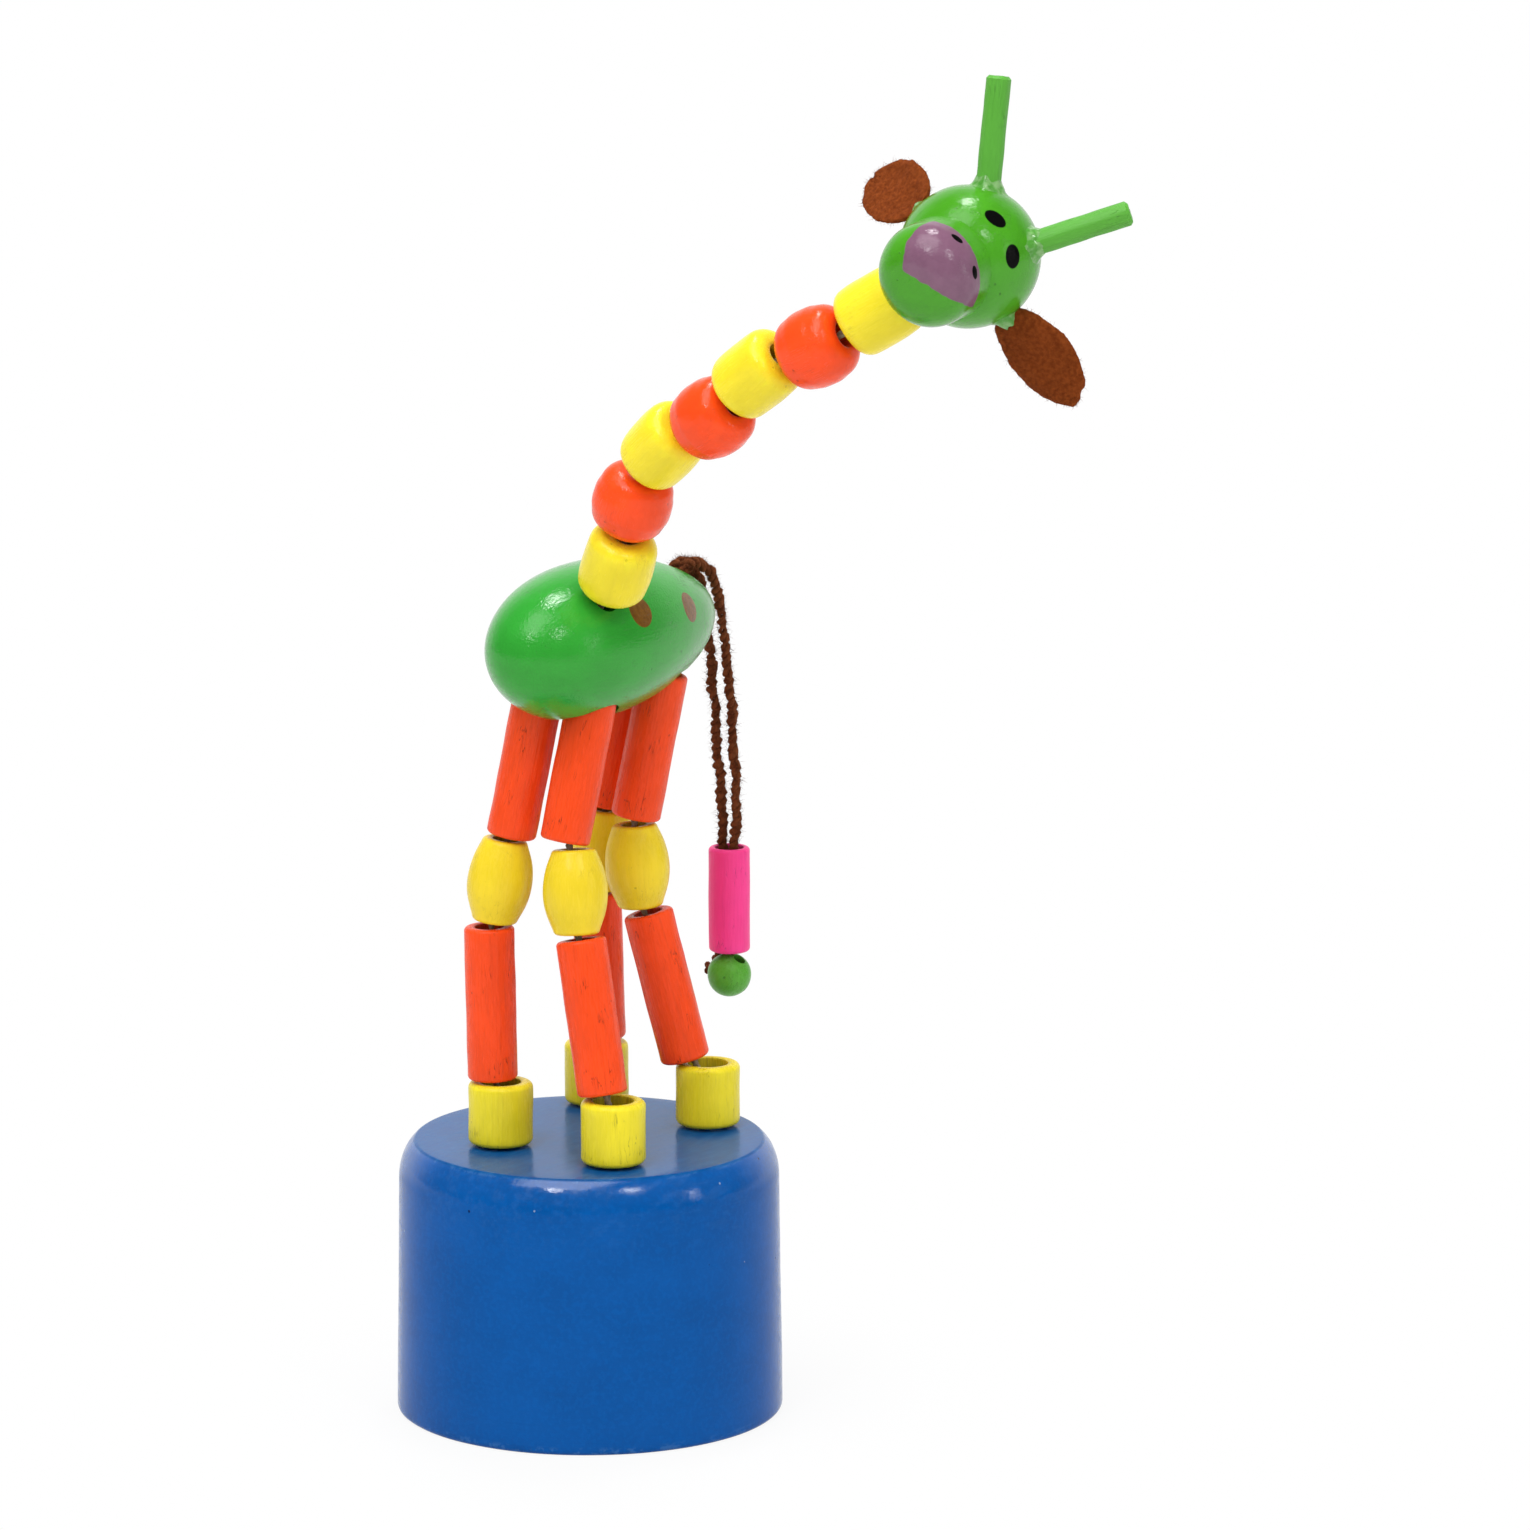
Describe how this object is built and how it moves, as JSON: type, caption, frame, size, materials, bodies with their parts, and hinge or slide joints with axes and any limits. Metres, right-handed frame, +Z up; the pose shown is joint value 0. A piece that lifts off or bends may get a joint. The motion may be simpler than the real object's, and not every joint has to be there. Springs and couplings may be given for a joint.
{
  "type": "thumb push puppet",
  "caption": "Wooden giraffe of strung turned beads on a drum base; a sprung thumb button underneath slackens its cords so that the legs fold.",
  "frame": {"origin": "middle of the drum base's underside, on the plane it stands on", "axes": "+Z up out of the base, -Y the way the giraffe's chest faces, +X the giraffe's left, where its neck leans"},
  "size_m": [0.0967, 0.0553, 0.1607],
  "materials": {
    "blue_paint": "semi-gloss paint on turned wood",
    "yellow_paint": "semi-gloss paint on turned wood",
    "orange_paint": "semi-gloss paint on turned wood",
    "green_paint": "semi-gloss paint on turned wood",
    "light_green_paint": "semi-gloss paint on turned wood",
    "pink_paint": "semi-gloss paint on turned wood",
    "bare_wood": "sanded, unpainted",
    "spring_steel": "drawn wire",
    "white_cord": "twisted thin cord",
    "brown_yarn": "fuzzy twisted yarn",
    "brown_felt": "pressed felt"
  },
  "bodies": {
    "base": {"base": "blue_paint", "button_spring": "spring_steel", "foot_front_left": "yellow_paint", "foot_front_right": "yellow_paint", "foot_rear_left": "yellow_paint", "foot_rear_right": "yellow_paint", "leg_cord_front_left": "white_cord", "leg_cord_front_right": "white_cord", "leg_cord_rear_left": "white_cord", "leg_cord_rear_right": "white_cord"},
    "button": {"thumb_button": "bare_wood", "cord_knot_front_left": "white_cord", "cord_knot_front_right": "white_cord", "cord_knot_rear_left": "white_cord", "cord_knot_rear_right": "white_cord"},
    "shin_front_left": {"lower_leg_front_left": "orange_paint"},
    "knee_front_left": {"knee_front_left": "yellow_paint"},
    "thigh_front_left": {"upper_leg_front_left": "orange_paint"},
    "shin_front_right": {"lower_leg_front_right": "orange_paint"},
    "knee_front_right": {"knee_front_right": "yellow_paint"},
    "thigh_front_right": {"upper_leg_front_right": "orange_paint"},
    "shin_rear_left": {"lower_leg_rear_left": "orange_paint"},
    "knee_rear_left": {"knee_rear_left": "yellow_paint"},
    "thigh_rear_left": {"upper_leg_rear_left": "orange_paint"},
    "shin_rear_right": {"lower_leg_rear_right": "orange_paint"},
    "knee_rear_right": {"knee_rear_right": "yellow_paint"},
    "thigh_rear_right": {"upper_leg_rear_right": "orange_paint"},
    "torso": {"body": "green_paint", "neck_cord": "white_cord"},
    "neck_1": {"neck_bead_1": "yellow_paint"},
    "neck_2": {"neck_bead_2": "orange_paint"},
    "neck_3": {"neck_bead_3": "yellow_paint"},
    "neck_4": {"neck_bead_4": "orange_paint"},
    "neck_5": {"neck_bead_5": "yellow_paint"},
    "neck_6": {"neck_bead_6": "orange_paint"},
    "neck_7": {"neck_bead_7": "yellow_paint"},
    "head": {"head": "light_green_paint", "horn_left": "light_green_paint", "horn_right": "light_green_paint", "ear_left": "brown_felt", "ear_right": "brown_felt"},
    "tail": {"tail_yarn_left": "brown_yarn", "tail_yarn_right": "brown_yarn", "tail_bead": "pink_paint", "tail_ball": "light_green_paint", "tail_knot": "brown_yarn"}
  },
  "joints": [
    {"name": "button_push", "type": "slide", "parent": "base", "child": "button", "axis": [0, 0, 1], "range_m": [0, 0.008], "stiffness_N_per_m": 450, "springref_m": -0.004, "deforming": ["button_spring", "leg_cord_front_left", "leg_cord_front_right", "leg_cord_rear_left", "leg_cord_rear_right"]},
    {"name": "ankle_front_left", "type": "hinge", "parent": "base", "child": "shin_front_left", "pos_m": [0.00701, -0.01122, 0.039], "axis": [0.5299, -0.848, 0], "range_deg": [-0.5, 46.5]},
    {"name": "knee_low_front_left", "type": "hinge", "parent": "shin_front_left", "child": "knee_front_left", "pos_m": [0.00644, -0.00846, 0.05922], "axis": [-0.5299, 0.848, 0], "range_deg": [-0.5, 41.5]},
    {"name": "knee_high_front_left", "type": "hinge", "parent": "knee_front_left", "child": "thigh_front_left", "pos_m": [0.00486, -0.0078, 0.06913], "axis": [-0.5299, 0.848, 0], "range_deg": [-0.5, 26.5]},
    {"name": "ankle_front_right", "type": "hinge", "parent": "base", "child": "shin_front_right", "pos_m": [-0.00909, -0.01032, 0.039], "axis": [0.5299, -0.848, 0], "range_deg": [-0.5, 57.98]},
    {"name": "knee_low_front_right", "type": "hinge", "parent": "shin_front_right", "child": "knee_front_right", "pos_m": [-0.00549, -0.00807, 0.05758], "axis": [-0.5299, 0.848, 0], "range_deg": [-0.5, 67.21]},
    {"name": "knee_high_front_right", "type": "hinge", "parent": "knee_front_right", "child": "thigh_front_right", "pos_m": [-0.00418, -0.00725, 0.06745], "axis": [-0.5299, 0.848, 0], "range_deg": [-0.5, 12.23]},
    {"name": "ankle_rear_left", "type": "hinge", "parent": "base", "child": "shin_rear_left", "pos_m": [0.00621, 0.01028, 0.039], "axis": [0.5299, -0.848, 0], "range_deg": [-0.5, 38.48]},
    {"name": "knee_low_rear_left", "type": "hinge", "parent": "shin_rear_left", "child": "knee_rear_left", "pos_m": [0.00382, 0.00898, 0.05901], "axis": [-0.5299, 0.848, 0], "range_deg": [-0.5, 28.88]},
    {"name": "knee_high_rear_left", "type": "hinge", "parent": "knee_rear_left", "child": "thigh_rear_left", "pos_m": [0.00328, 0.00873, 0.06759], "axis": [-0.5299, 0.848, 0], "range_deg": [-0.5, 21.01]},
    {"name": "ankle_rear_right", "type": "hinge", "parent": "base", "child": "shin_rear_right", "pos_m": [-0.00971, 0.0132, 0.0407], "axis": [0.5299, -0.848, 0], "range_deg": [-0.5, 64.46]},
    {"name": "knee_low_rear_right", "type": "hinge", "parent": "shin_rear_right", "child": "knee_rear_right", "pos_m": [-0.00507, 0.01399, 0.05772], "axis": [-0.5299, 0.848, 0], "range_deg": [-0.5, 67.42]},
    {"name": "knee_high_rear_right", "type": "hinge", "parent": "knee_rear_right", "child": "thigh_rear_right", "pos_m": [-0.00392, 0.01348, 0.06763], "axis": [-0.5299, 0.848, 0], "range_deg": [-0.5, 22.73]},
    {"name": "hip_front_left", "type": "hinge", "parent": "thigh_front_left", "child": "torso", "pos_m": [0.00223, -0.00673, 0.08552], "axis": [0.5299, -0.848, 0], "range_deg": [-0.5, 19.5]},
    {"name": "neck_1", "type": "hinge", "parent": "torso", "child": "neck_1", "pos_m": [0.00645, -0.0082, 0.10078], "axis": [0.0224, -0.9617, -0.2733], "range_deg": [-6.5, 7.19]},
    {"name": "neck_2", "type": "hinge", "parent": "neck_1", "child": "neck_2", "pos_m": [0.01031, -0.00686, 0.10493], "axis": [-0.8658, -0.3507, 0.357], "range_deg": [-4.17, 3.79]},
    {"name": "neck_3", "type": "hinge", "parent": "neck_2", "child": "neck_3", "pos_m": [0.01531, -0.01047, 0.11024], "axis": [0.1934, 0.9761, 0.0991], "range_deg": [-22.3, 20], "deforming": ["neck_cord"]},
    {"name": "neck_4", "type": "hinge", "parent": "neck_3", "child": "neck_4", "pos_m": [0.02158, -0.01158, 0.11669], "axis": [-0.034, 0.9373, 0.3468], "range_deg": [-12.09, 10.9]},
    {"name": "neck_5", "type": "hinge", "parent": "neck_4", "child": "neck_5", "pos_m": [0.02641, -0.0126, 0.12321], "axis": [-0.3757, -0.8375, 0.3969], "range_deg": [-8.45, 7.63]},
    {"name": "neck_6", "type": "hinge", "parent": "neck_5", "child": "neck_6", "pos_m": [0.03533, -0.01329, 0.12625], "axis": [-0.2634, 0.8458, 0.4639], "range_deg": [-13.02, 11.73]},
    {"name": "neck_7", "type": "hinge", "parent": "neck_6", "child": "neck_7", "pos_m": [0.04099, -0.01273, 0.13171], "axis": [-0.3535, -0.5291, 0.7714], "range_deg": [-13.34, 12.02]},
    {"name": "head_turn", "type": "hinge", "parent": "neck_7", "child": "head", "pos_m": [0.05068, -0.01259, 0.13672], "axis": [0.8172, 0.2266, 0.5299], "range_deg": [-35, 35]},
    {"name": "tail_swing", "type": "hinge", "parent": "torso", "child": "tail", "pos_m": [0.0013, 0.0262, 0.08575], "axis": [1, 0, 0], "range_deg": [-2, 35], "deforming": ["tail_yarn_left", "tail_yarn_right"]}
  ],
  "couplings": [
    {"joint": "ankle_front_left", "follows": "button_push", "rad_per_m": 100.36},
    {"joint": "knee_low_front_left", "follows": "button_push", "rad_per_m": 89.448},
    {"joint": "knee_high_front_left", "follows": "button_push", "rad_per_m": 56.723},
    {"joint": "ankle_front_right", "follows": "button_push", "rad_per_m": 125.41},
    {"joint": "knee_low_front_right", "follows": "button_push", "rad_per_m": 145.54},
    {"joint": "knee_high_front_right", "follows": "button_push", "rad_per_m": 25.597},
    {"joint": "ankle_rear_left", "follows": "button_push", "rad_per_m": 82.852},
    {"joint": "knee_low_rear_left", "follows": "button_push", "rad_per_m": 61.923},
    {"joint": "knee_high_rear_left", "follows": "button_push", "rad_per_m": 44.737},
    {"joint": "ankle_rear_right", "follows": "button_push", "rad_per_m": 139.53},
    {"joint": "knee_low_rear_right", "follows": "button_push", "rad_per_m": 145.99},
    {"joint": "knee_high_rear_right", "follows": "button_push", "rad_per_m": 48.508},
    {"joint": "hip_front_left", "follows": "button_push", "rad_per_m": 41.452},
    {"joint": "neck_1", "follows": "neck_3", "ratio": -0.3},
    {"joint": "neck_2", "follows": "neck_3", "ratio": 0.1645},
    {"joint": "neck_4", "follows": "neck_3", "ratio": 0.51985},
    {"joint": "neck_5", "follows": "neck_3", "ratio": 0.35651},
    {"joint": "neck_6", "follows": "neck_3", "ratio": 0.56141},
    {"joint": "neck_7", "follows": "neck_3", "ratio": 0.5759}
  ]
}
